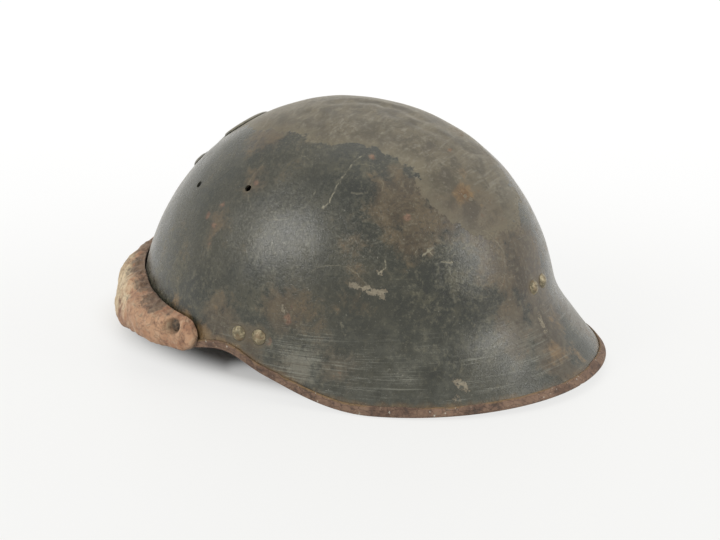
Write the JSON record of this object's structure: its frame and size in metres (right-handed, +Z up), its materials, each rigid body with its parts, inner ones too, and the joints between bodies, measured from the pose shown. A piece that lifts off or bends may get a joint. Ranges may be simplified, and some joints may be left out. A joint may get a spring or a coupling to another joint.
{
  "type": "motorised troops helmet",
  "caption": "Steel motorised-troops helmet: one-piece bowl with flared neck guard, bound rim and leather brow pad, riveted leather liner, and a chinstrap that swings on side pivots.",
  "frame": {"origin": "centre of the overall box in plan, on the table plane that the neck guard's rim and the brow pad rest on", "axes": "+X to the wearer's left, +Y to the wearer's rear (the brow pad and badge face -Y), +Z up through the crown"},
  "size_m": [0.2042, 0.2842, 0.1355],
  "materials": {
    "helmet_paint": "worn semi-matt dark grey-green paint over steel, with an olive and tan worn crown, scratches, chips and rust",
    "rim_steel": "worn paint over rusty red-brown folded steel strip",
    "pad_leather": "worn pinkish tan leather, cracked and stained, with pale wear",
    "pad_filling": "packed wool and horsehair",
    "rivet_steel": "domed steel rivets with worn olive paint and rust rings",
    "badge_paint": "worn olive paint over a plain stamped blank",
    "fittings_steel": "bare pressed steel, dulled",
    "liner_aluminium": "dull thin strip",
    "liner_leather": "smooth worn brown leather",
    "strap_leather": "dark brown strap leather",
    "lace_cotton": "undyed cotton lace",
    "brass_fittings": "tarnished brass"
  },
  "bodies": {
    "helmet": {"bowl": "helmet_paint", "rim_binding": "rim_steel", "brow_pad_cover": "pad_leather", "brow_pad_filling": "pad_filling", "pad_rivet_left": "rivet_steel", "pad_rivet_right": "rivet_steel", "front_badge": "badge_paint", "rivets_front": "rivet_steel", "rivets_rear": "rivet_steel", "rivets_left": "rivet_steel", "rivets_right": "rivet_steel", "lug_front": "fittings_steel", "lug_rear": "fittings_steel", "lug_left": "fittings_steel", "lug_right": "fittings_steel", "liner_hoop": "liner_aluminium", "spacer_1": "liner_aluminium", "spacer_2": "liner_aluminium", "spacer_3": "liner_aluminium", "spacer_4": "liner_aluminium", "headband": "liner_leather", "tongue_1": "liner_leather", "tongue_2": "liner_leather", "tongue_3": "liner_leather", "tongue_4": "liner_leather", "tongue_5": "liner_leather", "tongue_6": "liner_leather", "tongue_7": "liner_leather", "crown_lace": "lace_cotton", "strap_bracket_left": "fittings_steel", "strap_bracket_right": "fittings_steel", "strap_stud_left": "brass_fittings", "strap_stud_right": "brass_fittings"},
    "chinstrap": {"strap_hanger_left": "fittings_steel", "strap_hanger_right": "fittings_steel", "chinstrap": "strap_leather", "strap_rivet": "brass_fittings", "strap_slider": "brass_fittings"},
    "keeper": {"strap_keeper": "strap_leather"}
  },
  "joints": [
    {"name": "chinstrap_swing", "type": "hinge", "parent": "helmet", "child": "chinstrap", "pos_m": [0, -0.01041, 0.025], "axis": [-1, 0, 0], "range_deg": [-4, 154]},
    {"name": "keeper_slide", "type": "slide", "parent": "chinstrap", "child": "keeper", "axis": [-0.1736, 0.9727, -0.1538], "range_m": [-0.0075, 0.0095]}
  ]
}
